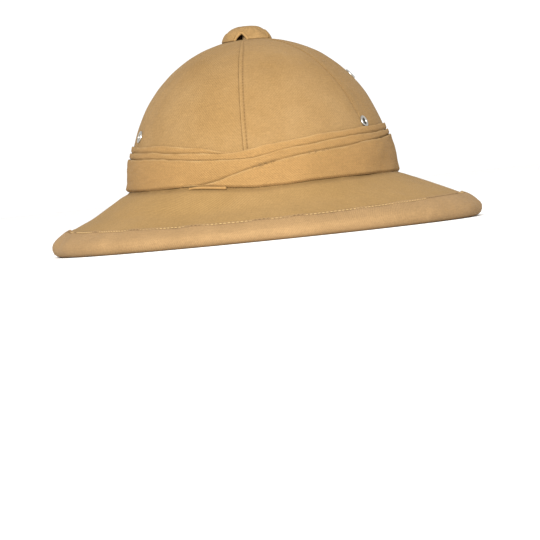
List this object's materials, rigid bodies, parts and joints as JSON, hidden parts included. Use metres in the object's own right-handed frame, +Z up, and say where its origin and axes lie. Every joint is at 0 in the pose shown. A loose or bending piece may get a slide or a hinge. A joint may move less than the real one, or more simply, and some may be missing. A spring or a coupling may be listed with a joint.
{
  "type": "pith helmet",
  "caption": "Cloth-covered sun helmet with a domed hollow crown, sloping brim with a thick bound rim, wound pleated hat band, vent eyelets and a notched vent cap.",
  "frame": {"origin": "middle of the helmet's footprint, on the plane of the rim's flat underside", "axes": "+Z up through the crown and the vent cap, front of the helmet towards -Y, the wearer's left at +X"},
  "size_m": [0.301, 0.341, 0.1477],
  "materials": {
    "shell": "moulded pith, matt, fine fibres",
    "crown_cloth": "tan cotton twill, matt",
    "binding_cloth": "tan cotton twill cut on the bias, stitched along its upper edge",
    "band_cloth": "tan cotton twill in pressed pleats",
    "nickel": "nickel plate, bright, faint scratches"
  },
  "bodies": {
    "root": {"shell": "shell", "gore_front_right": "crown_cloth", "gore_side_right": "crown_cloth", "gore_back_right": "crown_cloth", "gore_back_left": "crown_cloth", "gore_side_left": "crown_cloth", "gore_front_left": "crown_cloth", "brim_cover": "crown_cloth", "rim_binding": "binding_cloth", "wrap_top_pleat": "band_cloth", "wrap_crossing_pleat": "band_cloth", "wrap_left_band": "band_cloth", "wrap_right_band": "band_cloth", "eyelet_lower_right": "nickel", "eyelet_lower_left": "nickel", "eyelet_upper_right": "nickel", "eyelet_upper_left": "nickel", "vent_cap": "crown_cloth", "cap_stem": "shell"}
  },
  "joints": []
}
